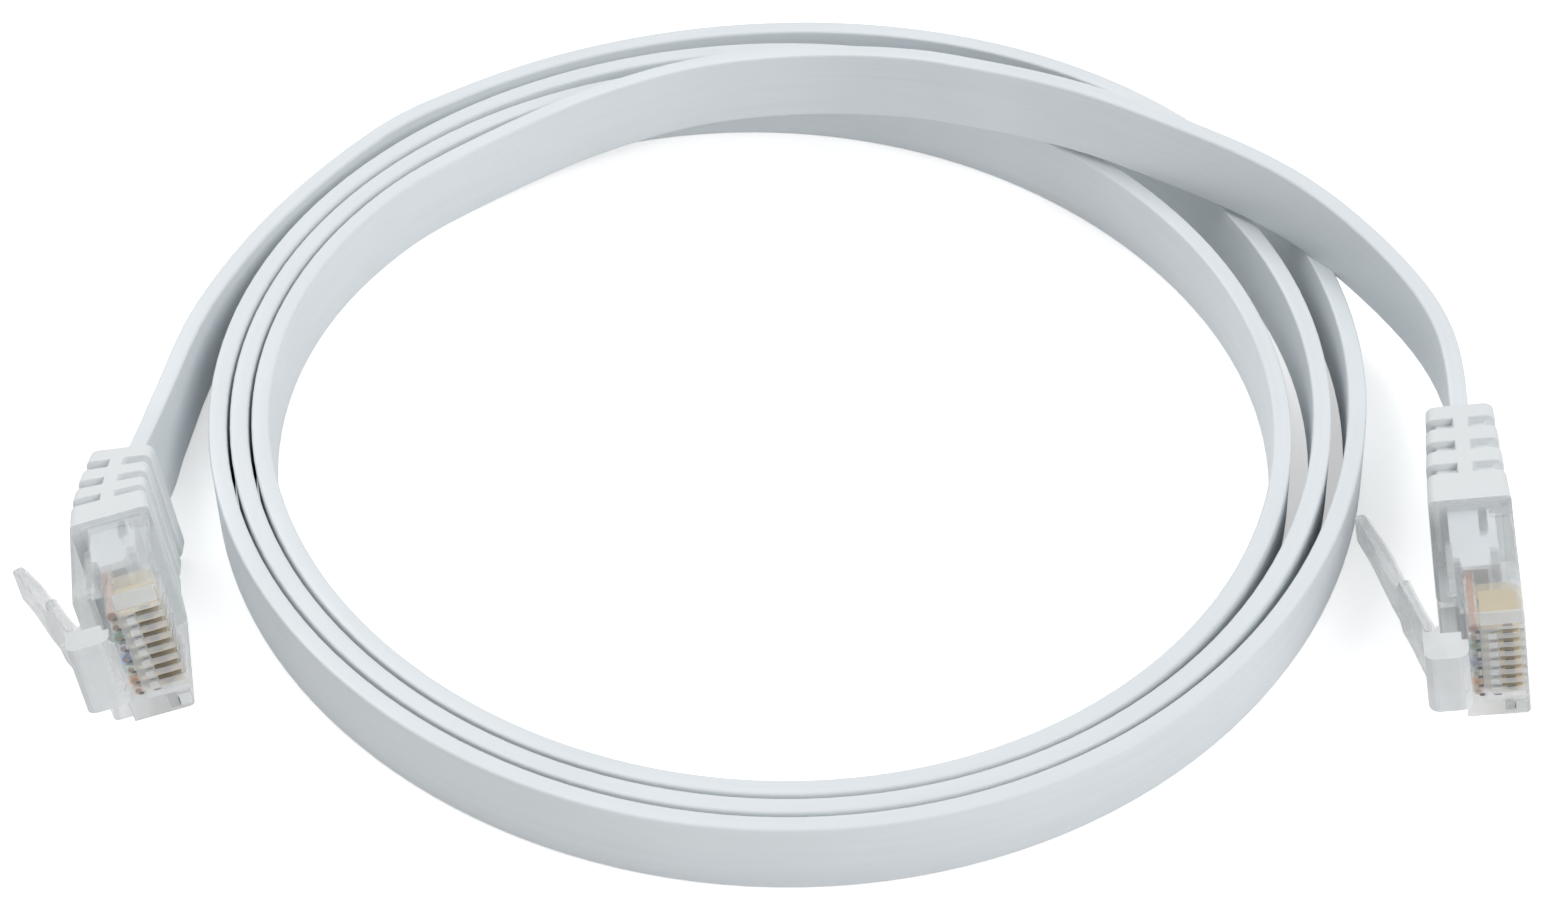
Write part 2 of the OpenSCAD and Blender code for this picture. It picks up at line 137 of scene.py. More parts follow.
def loft(name: str, rings: list[list[Vector]]) -> bpy.types.Mesh:
    """Skins rings of equal length and caps both ends.

    Args:
        name: the mesh's name.
        rings: the rings' points, in millimetres.

    Returns:
        A smooth-shaded mesh in metres, with its faces outwards.
    """
    bm = bmesh.new()
    grid = [[bm.verts.new(p * MM) for p in ring] for ring in rings]
    count = len(rings[0])
    for a, b in zip(grid, grid[1:]):
        for i in range(count):
            k = (i + 1) % count
            bm.faces.new((a[i], a[k], b[k], b[i]))
    bm.faces.new(grid[0])
    bm.faces.new(list(reversed(grid[-1])))
    bmesh.ops.recalc_face_normals(bm, faces=bm.faces)
    for face in bm.faces:
        face.smooth = True
    mesh = bpy.data.meshes.new(name)
    bm.to_mesh(mesh)
    bm.free()
    return mesh


def rounded_outline(x0: float, x1: float, z: float, radius: float,
                    marks: tuple[float, ...] = ()) -> list[Pair]:
    """Outline of a rounded rectangle that spans x0 to x1 and -z to z.

    Args:
        x0: its low side.
        x1: its high side.
        z: half its width along Z.
        radius: the radius of its corners.
        marks: extra points along both narrow sides, as distances from their middle.

    Returns:
        Pairs of x and z, one way round, always as many for equal marks.
    """
    mid = (x0 + x1) / 2
    points: list[Pair] = []
    corners = ((x1 - radius, z - radius, 0), (x0 + radius, z - radius, 90),
               (x0 + radius, radius - z, 180), (x1 - radius, radius - z, 270))
    for i, (cx, cz, start) in enumerate(corners):
        angles = [math.radians(start + 90 / CORNER_PARTS * k) for k in range(CORNER_PARTS + 1)]
        points += [(cx + radius * math.cos(a), cz + radius * math.sin(a)) for a in angles]
        if i in (0, 2):
            side = 1 if i == 0 else -1
            points += [(mid + side * m, side * z) for m in sorted(marks, reverse=True)]
        else:
            edge = x0 if i == 1 else x1
            sign = 1 if i == 1 else -1
            points += [(edge, sign * (z - radius) * (1 - 2 * k / SIDE_PARTS)) for k in range(1, SIDE_PARTS)]
    return points


# --- node trees and materials ---

class Graph:
    """Builds a node tree with short calls."""

    def __init__(self, tree: bpy.types.NodeTree) -> None:
        """Takes a tree and empties it."""
        self.tree = tree
        self.tree.nodes.clear()

    def add(self, kind: str, **values: object) -> bpy.types.Node:
        """Adds a node.

        Args:
            kind: the node's type.
            values: properties by name, and inputs by name with _ for spaces or by number after an i;
                a socket given for an input is linked to it.

        Returns:
            The new node.
        """
        node = self.tree.nodes.new(kind)
        for key, value in values.items():
            if hasattr(node, key) and key not in ("inputs", "outputs"):
                setattr(node, key, value)
                continue
            socket = node.inputs[int(key[1:])] if key[1:].isdigit() else node.inputs[key.replace("_", " ")]
            if isinstance(value, Socket):
                self.tree.links.new(value, socket)
            else:
                socket.default_value = value
        return node


class Nodes(Graph):
    """Builds a material's node tree."""

    def __init__(self, name: str) -> None:
        """Starts an empty material.

        Args:
            name: the material's name.
        """
        self.material = bpy.data.materials.new(name)
        self.material.use_nodes = True
        super().__init__(self.material.node_tree)
        self.out = self.add("ShaderNodeOutputMaterial")

    def ramp(self, source: Socket, low: float, high: float, to_low: float, to_high: float) -> Socket:
        """Maps the source's range from low to high to another range, held at both ends."""
        return self.add("ShaderNodeMapRange", i0=source, i1=low, i2=high, i3=to_low, i4=to_high).outputs[0]

    def spread(self, noise: Socket, low: float, high: float) -> Socket:
        """Spreads a noise about 0.5 over the range from low to high."""
        return self.ramp(noise, *NOISE_SPAN, low, high)

    def times(self, source: Socket, factor: float) -> Socket:
        """Multiplies a number that varies by a factor."""
        return self.add("ShaderNodeMath", operation="MULTIPLY", i0=source, i1=factor).outputs[0]

    def blend(self, share: Socket, first: Triple, second: Triple) -> Socket:
        """Blends two colours.

        Args:
            share: how much of the second colour there is.
            first: the first colour.
            second: the second colour.

        Returns:
            The blended colour.
        """
        mix = self.add("ShaderNodeMix", data_type="RGBA")
        ends = [socket for socket in mix.inputs if socket.type == "RGBA"]
        ends[0].default_value, ends[1].default_value = (*first, 1), (*second, 1)
        self.tree.links.new(share, mix.inputs[0])
        return next(socket for socket in mix.outputs if socket.type == "RGBA")

    def tint(self, noise: Socket, colour: Triple, depth: float) -> Socket:
        """Varies a colour with a noise about 0.5, down to one that is darker by the share depth."""
        red, green, blue = (c * (1 - depth) for c in colour)
        return self.blend(self.spread(noise, 0.0, 1.0), colour, (red, green, blue))

    def noise(self, scale: float, detail: float = 2.0) -> Socket:
        """Adds noise about 0.5 in the object's own coordinates, with scale spots to the metre."""
        place = self.add("ShaderNodeTexCoord").outputs["Object"]
        return self.add("ShaderNodeTexNoise", Vector=place, Scale=scale, Detail=detail).outputs[0]

    def bump(self, height: Socket, strength: float, depth: float, below: Socket | None = None) -> Socket:
        """Adds a bump.

        Args:
            height: the height, about 0.5.
            strength: how much of it shows, up to 1.
            depth: how deep it is, in millimetres.
            below: the normal that it lies on, if not the surface's own.

        Returns:
            The new normal.
        """
        node = self.add("ShaderNodeBump", Strength=strength, Distance=depth * MM, Height=height)
        if below is not None:
            self.tree.links.new(below, node.inputs["Normal"])
        return node.outputs[0]

    def shader(self, colour: Socket, rough: Socket, normal: Socket) -> bpy.types.Node:
        """Adds the main shader."""
        return self.add("ShaderNodeBsdfPrincipled", Base_Color=colour, Roughness=rough, Normal=normal)

    def done(self, shader: bpy.types.Node) -> bpy.types.Material:
        """Links the last shader to the output and returns the material."""
        self.tree.links.new(shader.outputs[0], self.out.inputs[0])
        return self.material


@dataclass(frozen=True)
class Plastic:
    """A moulded plastic or rubbery finish with fine mottling, bump and softened edges."""

    name: str
    colour: Triple
    roughness: float = 0.45
    gloss_change: float = 0.06
    mottle: float = 0.03
    mottle_scale: float = 120.0
    bump: float = 0.05
    bump_depth: float = 0.05
    grain: float = 2500.0
    edge: float = 0.0

    def make(self) -> bpy.types.Material:
        """Builds the material.

        Returns:
            The new material.
        """
        n = Nodes("finish_" + self.name)
        fine = n.noise(self.grain, 3.0)
        colour = n.tint(n.noise(self.mottle_scale), self.colour, self.mottle)
        rough = n.spread(fine, self.roughness - self.gloss_change, self.roughness + self.gloss_change)
        below = n.add("ShaderNodeBevel", samples=6, Radius=self.edge * MM).outputs[0] if self.edge else None
        normal = n.bump(fine, self.bump, self.bump_depth, below)
        return n.done(n.shader(colour, rough, normal))


@dataclass(frozen=True)
class Metal:
    """A plated or drawn metal with fine scratches, whose level faces may have a colour of their own."""

    name: str
    colour: Triple
    roughness: float = 0.35
    rough_span: Pair = (0.7, 1.4)
    metallic: float = 1.0
    flat: Triple | None = None
    flat_from: Pair = (0.7, 0.85)
    scratches: float = 4000.0
    bump: float = 0.05
    bump_depth: float = 0.03

    def make(self) -> bpy.types.Material:
        """Builds the material.

        Returns:
            The new material.
        """
        n = Nodes("finish_" + self.name)
        fine = n.noise(self.scratches, 4.0)
        rough = n.spread(fine, *(self.roughness * share for share in self.rough_span))
        normal = n.bump(fine, self.bump, self.bump_depth)
        shader = n.add("ShaderNodeBsdfPrincipled", Roughness=rough, Normal=normal)
        shader.inputs["Metallic"].default_value = self.metallic
        shader.inputs["Base Color"].default_value = (*self.colour, 1)
        if self.flat:
            faces = n.add("ShaderNodeTexCoord").outputs["Normal"]
            upright = n.add("ShaderNodeSeparateXYZ", Vector=faces).outputs["Z"]
            level = n.add("ShaderNodeMath", operation="ABSOLUTE", i0=upright).outputs[0]
            colour = n.blend(n.ramp(level, *self.flat_from, 0.0, 1.0), self.colour, self.flat)
            n.tree.links.new(colour, shader.inputs["Base Color"])
        return n.done(shader)


@dataclass(frozen=True)
class JacketPlastic:
    """Satin extruded jacket with faint streaks along its length."""

    name: str = "jacket"
    colour: Triple = (0.80, 0.845, 0.87)
    roughness: float = 0.4
    gloss_change: float = 0.07
    mottle: float = 0.06
    mottle_scale: float = 90.0
    streaks: Pair = (60.0, 1400.0)
    streak_bump: Pair = (0.12, 0.06)
    grain: float = 2600.0
    grain_bump: Pair = (0.05, 0.04)

    def make(self) -> bpy.types.Material:
        """Builds the material.

        Returns:
            The new material.
        """
        n = Nodes("finish_" + self.name)
        along = n.add("ShaderNodeAttribute", attribute_name="along").outputs["Fac"]
        around = n.add("ShaderNodeAttribute", attribute_name="around").outputs["Fac"]
        x, y = n.times(along, self.streaks[0]), n.times(around, self.streaks[1])
        place = n.add("ShaderNodeCombineXYZ", X=x, Y=y).outputs[0]
        streak = n.add("ShaderNodeTexNoise", Vector=place, Scale=1.0, Detail=3.0).outputs[0]
        wide = n.noise(self.mottle_scale)
        both = n.add("ShaderNodeMix", data_type="FLOAT", i0=0.5, i2=streak, i3=wide).outputs[0]
        colour = n.tint(both, self.colour, self.mottle)
        rough = n.spread(streak, self.roughness - self.gloss_change, self.roughness + self.gloss_change)
        lines = n.bump(streak, *self.streak_bump)
        normal = n.bump(n.noise(self.grain, 3.0), *self.grain_bump, lines)
        return n.done(n.shader(colour, rough, normal))


@dataclass(frozen=True)
class ClearPlastic:
    """Clear polycarbonate with a little milk in it, faint flow marks and soft gloss."""

    name: str
    colour: Triple
    alpha: float = 0.6
    clear: float = 0.75
    roughness: float = 0.1
    rough_span: Pair = (0.7, 1.3)
    ior: float = 1.3
    shade: float = 0.9
    mottle: float = 0.05
    flow: float = 700.0
    flow_bump: Pair = (0.05, 0.1)

    def make(self) -> bpy.types.Material:
        """Builds the material, which lets most of a lamp's light through.

        Returns:
            The new material.
        """
        n = Nodes("finish_" + self.name)
        cloud = n.noise(self.flow, 3.0)
        colour = n.tint(cloud, self.colour, self.mottle)
        rough = n.spread(cloud, *(self.roughness * share for share in self.rough_span))
        shader = n.shader(colour, rough, n.bump(cloud, *self.flow_bump))
        shader.inputs["Alpha"].default_value = self.alpha
        shader.inputs["Transmission Weight"].default_value = self.clear
        shader.inputs["IOR"].default_value = self.ior
        through = n.add("ShaderNodeBsdfTransparent", Color=(*[self.shade] * 3, 1))
        lamp = n.add("ShaderNodeLightPath").outputs["Is Shadow Ray"]
        return n.done(n.add("ShaderNodeMixShader", i0=lamp, i1=shader.outputs[0], i2=through.outputs[0]))


# --- the camera, the floor and the light ---

@dataclass(frozen=True)
class Viewpoint:
    """The camera, from a tilt, a roll and a distance to the point on the floor that it looks at."""

    target: Triple = (1.0, 22.2, 0.0)
    distance: float = 366.0
    tilt: float = 44.8
    roll: float = -2.2
    focal_px: float = 4200.0
    image_w: int = 1547
    sensor_w: float = 36.0
    clip_start: float = 0.01

    def make(self) -> None:
        """Adds the camera to the scene and makes it the active one."""
        t, r = math.radians(self.tilt), math.radians(self.roll)
        ahead = Vector((0, math.cos(t), -math.sin(t)))
        up = Vector((0, math.sin(t), math.cos(t)))
        side = Vector((1, 0, 0))
        right = side * math.cos(r) + up * math.sin(r)
        top = up * math.cos(r) - side * math.sin(r)
        data = bpy.data.cameras.new("camera")
        data.sensor_fit = "HORIZONTAL"
        data.sensor_width = self.sensor_w
        data.lens = self.focal_px / self.image_w * self.sensor_w
        data.clip_start = self.clip_start
        camera = link("camera", data)
        place = Vector(self.target) - ahead * self.distance
        turn = Matrix((right, top, -ahead)).transposed().to_4x4()
        camera.matrix_world = Matrix.Translation(place * MM) @ turn
        bpy.context.scene.camera = camera


@dataclass(frozen=True)
class AreaLight:
    """A square soft light that looks at a point."""

    name: str
    at: Triple
    size: float
    power: float
    look_at: Triple = (0, 22, 0)

    def make(self) -> None:
        """Adds the light to the scene."""
        data = bpy.data.lights.new(self.name, "AREA")
        data.size = self.size * MM
        data.energy = self.power
        lamp = link(self.name, data)
        away = Vector(self.at) - Vector(self.look_at)
        turn = away.to_track_quat("Z", "Y").to_matrix().to_4x4()
        lamp.matrix_world = Matrix.Translation(Vector(self.at) * MM) @ turn


@dataclass(frozen=True)
class Studio:
    """Plain pale floor, even surroundings and soft lights."""

    floor_size: float = 4000.0
    floor_drop: float = 0.02
    floor_tone: float = 0.93
    floor_glow: Pair = (0.45, 0.1)
    ambient: float = 0.38
    ambient_colour: Triple = (0.97, 0.985, 1)
    lights: tuple[AreaLight, ...] = (
        AreaLight("front_right", (748, -524, 843), 720, 6.6),
        AreaLight("back_left", (-573, 612, 965), 720, 7.2),
    )

    def floor(self) -> None:
        """Adds the floor, which glows a little where it is seen and keeps the shadows."""
        bm = bmesh.new()
        bmesh.ops.create_grid(bm, x_segments=2, y_segments=2, size=self.floor_size / 2 * MM)
        mesh = bpy.data.meshes.new("floor")
        bm.to_mesh(mesh)
        bm.free()
        floor = link("floor", mesh)
        floor.location.z = -self.floor_drop * MM
        n = Nodes("floor")
        diffuse = n.add("ShaderNodeBsdfDiffuse", Color=(*[self.floor_tone] * 3, 1))
        rays = n.add("ShaderNodeLightPath").outputs
        seen, through = self.floor_glow
        glow = n.add("ShaderNodeMath", operation="MULTIPLY_ADD", i0=rays["Is Camera Ray"], i1=seen,
                     i2=n.times(rays["Is Transmission Ray"], through))
        lit = n.add("ShaderNodeEmission", Strength=glow.outputs[0])
        mesh.materials.append(n.done(n.add("ShaderNodeAddShader", i0=diffuse.outputs[0], i1=lit.outputs[0])))

    def world(self) -> None:
        """Adds the surroundings: white where they are seen, and dimmer where they light the pieces."""
        world = bpy.data.worlds.new("world")
        bpy.context.scene.world = world
        world.use_nodes = True
        graph = Graph(world.node_tree)
        seen = graph.add("ShaderNodeBackground", Color=(1, 1, 1, 1), Strength=1.0)
        lit = graph.add("ShaderNodeBackground", Color=(*self.ambient_colour, 1), Strength=self.ambient)
        bounces = graph.add("ShaderNodeLightPath").outputs["Diffuse Depth"]
        sharp = graph.add("ShaderNodeMath", operation="LESS_THAN", i0=bounces, i1=0.5)
        mix = graph.add("ShaderNodeMixShader", i0=sharp.outputs[0], i1=lit.outputs[0], i2=seen.outputs[0])
        graph.add("ShaderNodeOutputWorld", Surface=mix.outputs[0])

    def make(self) -> None:
        """Adds the floor, the world and the lights."""
        self.floor()
        self.world()
        for light in self.lights:
            light.make()
        bpy.context.scene.view_settings.view_transform = "Standard"


# --- where the plugs and the cord lie ---

@dataclass(frozen=True)
class PlugPlace:
    """Where a plug lies and how its boot bends."""

    prefix: str
    at: Triple
    turn: Triple
    flex: Triple
    collar_y: float = 16.7
    segment_l: float = 2.9
    segments: int = 3
    steps: int = 24

    def matrix(self) -> Matrix:
        """The matrix from the plug's frame to the world, in millimetres."""
        return Matrix.Translation(Vector(self.at)) @ rotation(self.turn)

    def bend(self, share: float) -> Matrix:
        """The boot's rotation in the plug's frame where a share of its bending length is passed."""
        x, y, z = (a * min(1.0, share) for a in self.flex)
        return rotation((x, y, z))

    def along(self, y: float) -> Matrix:
        """The frame of the boot's cross-section.

        Args:
            y: the distance from the nose, along the boot.

        Returns:
            A matrix from the section's frame, with the section at its y = 0, to the world.
        """
        start = self.collar_y - self.segment_l / 2
        if y <= start:
            return self.matrix() @ Matrix.Translation((0, y, 0))
        past, length = y - start, self.segment_l * self.segments
        point = Vector((0, start, 0))
        for k in range(self.steps):
            turn = self.bend((k + 0.5) / self.steps * past / length)
            point = point + turn @ Vector((0, past / self.steps, 0))
        return self.matrix() @ Matrix.Translation(point) @ self.bend(past / length)


PLUG_A = PlugPlace("a", (-50.4, -10.8, 12.5), (-17.1, -8.0, 11.3), (4.6, 2.5, -14.0))
PLUG_B = PlugPlace("b", (57.3, -12.5, 7.2), (-2.8, -8.1, -4.1), (0.0, 0.0, 0.0))


@dataclass(frozen=True)
class CableRoute:
    """The line that the jacket follows, from inside one plug round the coil to inside the other.

    The flare is a rise at the coil's start and the angle that it fades over. The dent is a depth, a direction
    and a width, and the wave is a height and a direction.
    """

    centre: Pair = (2.2, 22.7)
    start: float = 135.0
    turns: int = 3
    step: int = 10
    radius: float = 49.9
    pitch: float = 1.85
    flare: Pair = (1.1, 30.0)
    dent: Triple = (1.75, 42.0, 55.0)
    dent_growth: float = 1.5
    oval: float = 0.35
    wave: Pair = (0.55, 118.0)
    height: float = 3.5
    wires_x: float = -0.7
    exit_x: float = -0.1
    jacket_y: float = 11.0
    body_l: float = 13.3
    boot_y: tuple[float, ...] = (15.0, 17.0, 19.0, 21.0, 23.0)
    boot_end: float = 25.4
    ease_over: int = 4
    lead_a: tuple[Triple, ...] = (
        (-52, 20.2, 4.2), (-51.2, 25.2, 3.8), (-48.6, 36.2, 3.6), (-42.6, 48.2, 3.55))
    lead_b: tuple[Triple, ...] = (
        (-19.1, 59.6, 4.3), (-12.1, 62.1, 5.3), (-5, 63.3, 6.4), (2.2, 63, 7.5), (9, 61.5, 8.7),
        (15.4, 59, 10), (20.6, 56.3, 10.9), (25.8, 54.2, 11), (31.1, 51.6, 11), (37.5, 47.4, 11),
        (44.3, 42.3, 11), (49.3, 37.6, 10.6), (54.1, 31.9, 9.4), (57.7, 25.9, 8.2), (59.3, 20.2, 7))

    def coil_radius(self, a: float) -> float:
        """The coil's radius.

        Args:
            a: the angle wound so far.

        Returns:
            The distance of the jacket's middle from the coil's centre.
        """
        phi, turn = self.start - a, a / 360
        off = ((phi - self.dent[1] + 180) % 360 - 180) / self.dent[2]
        return (self.radius - self.pitch * turn + self.flare[0] * math.exp(-a / self.flare[1])
                - self.dent[0] * turn ** self.dent_growth * math.exp(-off * off)
                + self.oval * math.cos(math.radians(2 * phi))
                + self.wave[0] * math.cos(math.radians(3 * phi - self.wave[1])))

    def coil_point(self, a: float) -> Vector:
        """The middle of the jacket where the coil has wound an angle so far."""
        phi, r = math.radians(self.start - a), self.coil_radius(a)
        return Vector((self.centre[0] + r * math.cos(phi), self.centre[1] + r * math.sin(phi), self.height))

    def inside(self, plug: PlugPlace) -> list[tuple[Vector, Vector]]:
        """The jacket inside a plug.

        Args:
            plug: the plug.

        Returns:
            Points from the jacket's end to its way out of the boot, each with the direction of its width.
        """
        rows = []
        for y in (self.jacket_y, self.body_l, *self.boot_y, self.boot_end):
            x = blend_at(y, ((self.body_l, self.wires_x), (plug.collar_y, self.exit_x)))
            m = plug.along(y)
            rows.append((m @ Vector((x, 0, 0)), m.to_3x3() @ Vector((0, 0, 1))))
        return rows

    def knots(self) -> list[tuple[Vector, Vector | None]]:
        """The route's points in order.

        Returns:
            Points with the direction of the jacket's width, or None where it is upright.
        """
        rows: list[tuple[Vector, Vector | None]] = list(self.inside(PLUG_A))
        rows += [(Vector(p), None) for p in self.lead_a]
        rows += [(self.coil_point(a), None) for a in range(0, self.turns * 360 + 1, self.step)]
        rows += [(Vector(p), None) for p in self.lead_b]
        return rows + list(reversed(self.inside(PLUG_B)))

    def all_ups(self, ups: list[Vector | None]) -> list[Vector]:
        """Fills in the direction of the jacket's width between the plugs, where it eases to upright.

        Args:
            ups: the direction at each knot, or None outside the plugs.

        Returns:
            The direction at each knot.
        """
        middle = len(ups) / 2
        known = [i for i, up in enumerate(ups) if up is not None]
        first, last = max(i for i in known if i < middle), min(i for i in known if i > middle)
        full: list[Vector] = []
        for i, up in enumerate(ups):
            end, away = (first, i - first) if i < middle else (last, last - i)
            eased = ups[end].lerp(Vector((0, 0, 1)), smooth_step(away / self.ease_over)).normalized()
            full.append(eased if up is None else up)
        return full

    def line(self, parts: int) -> list[tuple[Vector, Vector]]:
        """The smooth line through the knots.

        Args:
            parts: pieces between each two knots.

        Returns:
            Points, each with the direction of the jacket's width.
        """
        knots = self.knots()
        points, ups = [k[0] for k in knots], self.all_ups([k[1] for k in knots])
        rows = []
        padded = [2 * points[0] - points[1]] + points + [2 * points[-1] - points[-2]]
        for i in range(1, len(padded) - 2):
            a, b, c, d = padded[i - 1:i + 3]
            for k in range(parts):
                s = k / parts
                p = 0.5 * (2 * b + (c - a) * s + (2 * a - 5 * b + 4 * c - d) * s * s
                           + (3 * b - a - 3 * c + d) * s ** 3)
                rows.append((p, ups[i - 1].lerp(ups[i], s).normalized()))
        return rows + [(points[-1], ups[-1])]


@dataclass(frozen=True)
class Jacket:
    """The flat jacket, swept along its route by a node tree."""

    route: CableRoute = field(default_factory=CableRoute)
    width: float = 7.0
    thickness: float = 1.58
    corner: float = 0.25
    corner_parts: int = 6
    knot_parts: int = 4
    finish: JacketPlastic = field(default_factory=JacketPlastic)

    def guide(self) -> bpy.types.Mesh:
        """The route as a chain of edges with the attribute side, the direction of the thickness.

        Returns:
            The mesh.
        """
        rows = self.route.line(self.knot_parts)
        mesh = bpy.data.meshes.new("cable_route")
        last = len(rows) - 1
        mesh.from_pydata([tuple(p * MM) for p, _ in rows], [(i, i + 1) for i in range(last)], [])
        side = mesh.attributes.new("side", "FLOAT_VECTOR", "POINT")
        for i, (_, up) in enumerate(rows):
            ahead = rows[min(i + 1, last)][0] - rows[max(i - 1, 0)][0]
            side.data[i].vector = ahead.cross(up).normalized()
        return mesh

    def tree(self) -> bpy.types.NodeTree:
        """The node tree that turns the route into the jacket.

        Returns:
            The tree, with the inputs Width, Thickness, Corner and Finish.
        """
        tree = bpy.data.node_groups.new("sweep_jacket", "GeometryNodeTree")
        for name, kind in (("Route", "Geometry"), ("Width", "Float"), ("Thickness", "Float"),
                           ("Corner", "Float"), ("Finish", "Material")):
            tree.interface.new_socket(name, in_out="INPUT", socket_type="NodeSocket" + kind)
        tree.interface.new_socket("Jacket", in_out="OUTPUT", socket_type="NodeSocketGeometry")
        add = Graph(tree).add
        given = add("NodeGroupInput").outputs
        line = add("GeometryNodeMeshToCurve", Mesh=given["Route"])
        side = add("GeometryNodeInputNamedAttribute", data_type="FLOAT_VECTOR", Name="side")
        line = add("GeometryNodeSetCurveNormal", mode="FREE", Curve=line.outputs[0], Normal=side.outputs[0])
        section = add("GeometryNodeCurvePrimitiveQuadrilateral",
                      Width=given["Thickness"], Height=given["Width"])
        section = add("GeometryNodeFilletCurve", mode="POLY", Count=self.corner_parts,
                      Curve=section.outputs[0], Radius=given["Corner"])
        line, section = (
            add("GeometryNodeStoreNamedAttribute", data_type="FLOAT", domain="POINT", Name=name,
                Geometry=curve.outputs[0], Value=add("GeometryNodeSplineParameter").outputs["Length"])
            for name, curve in (("along", line), ("around", section)))
        sweep = add("GeometryNodeCurveToMesh", Curve=line.outputs[0], Profile_Curve=section.outputs[0],
                    Fill_Caps=True)
        smooth = add("GeometryNodeSetShadeSmooth", Geometry=sweep.outputs[0])
        real = add("GeometryNodeRealizeInstances", Geometry=smooth.outputs[0])
        paint = add("GeometryNodeSetMaterial", Geometry=real.outputs[0], Material=given["Finish"])
        add("NodeGroupOutput", Jacket=paint.outputs[0])
        return tree

    def make(self) -> bpy.types.Object:
        """Returns:
            The jacket.
        """
        guide = link("cable_guide", self.guide())
        tree = self.tree()
        modifier = guide.modifiers.new("sweep", "NODES")
        modifier.node_group = tree
        values = {"Width": self.width * MM, "Thickness": self.thickness * MM, "Corner": self.corner * MM,
                  "Finish": self.finish.make()}
        for item in tree.interface.items_tree:
            if item.in_out == "INPUT" and item.name in values:
                modifier[item.identifier] = values[item.name]
        guide.update_tag()
        bpy.context.view_layer.update()
        graph = bpy.context.evaluated_depsgraph_get()
        mesh = bpy.data.meshes.new_from_object(guide.evaluated_get(graph))
        mesh.name = "cable_jacket"
        bpy.data.objects.remove(guide)
        jacket = link("cable_jacket", mesh)
        knots = [p * MM for p, _ in self.route.line(1)]
        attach(jacket, "cable")
        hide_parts("lead_a", "coil", "lead_b")
        return jacket


